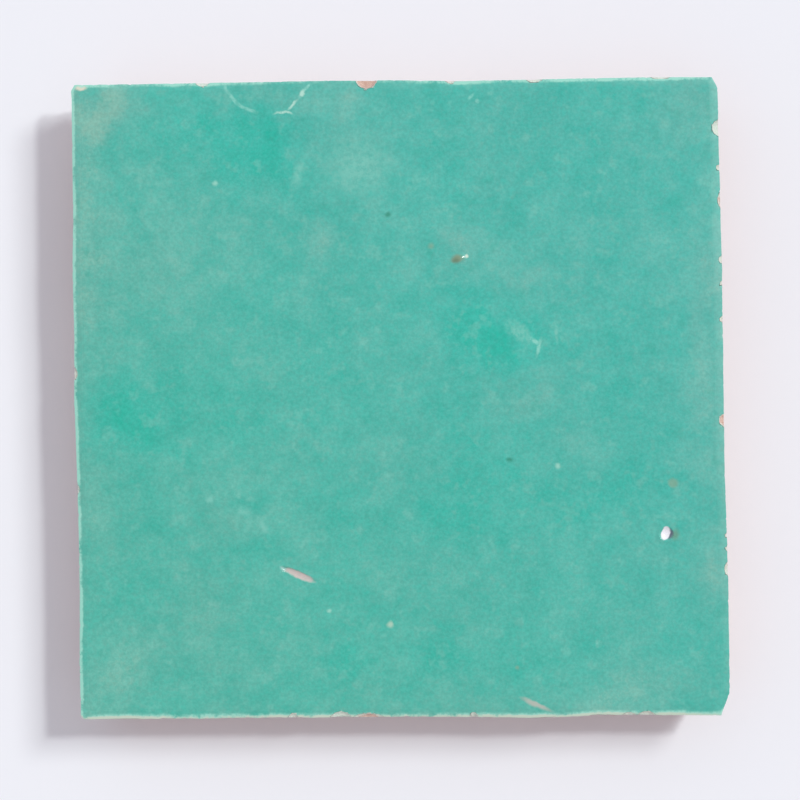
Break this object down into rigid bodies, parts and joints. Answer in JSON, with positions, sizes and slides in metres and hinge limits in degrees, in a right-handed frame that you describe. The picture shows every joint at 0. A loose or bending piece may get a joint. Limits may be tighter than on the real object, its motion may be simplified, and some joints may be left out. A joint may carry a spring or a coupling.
{
  "type": "zellige tile",
  "caption": "Square hand-cut zellige tile: teal glaze on one face, chiselled sides that lean in to a flat raw clay underside.",
  "frame": {"origin": "middle of the underside, the face that is bedded in mortar", "axes": "+Z out of the glazed face; +X and +Y along its sides"},
  "size_m": [0.1021, 0.1004, 0.0117],
  "materials": {
    "glazed_clay": "glossy teal glaze on the upper face, mottled and worn to cream along its rim; the chiselled sides and the underside are bare matt fired clay"
  },
  "bodies": {
    "root": {"zellige_tile": "glazed_clay"}
  },
  "joints": []
}
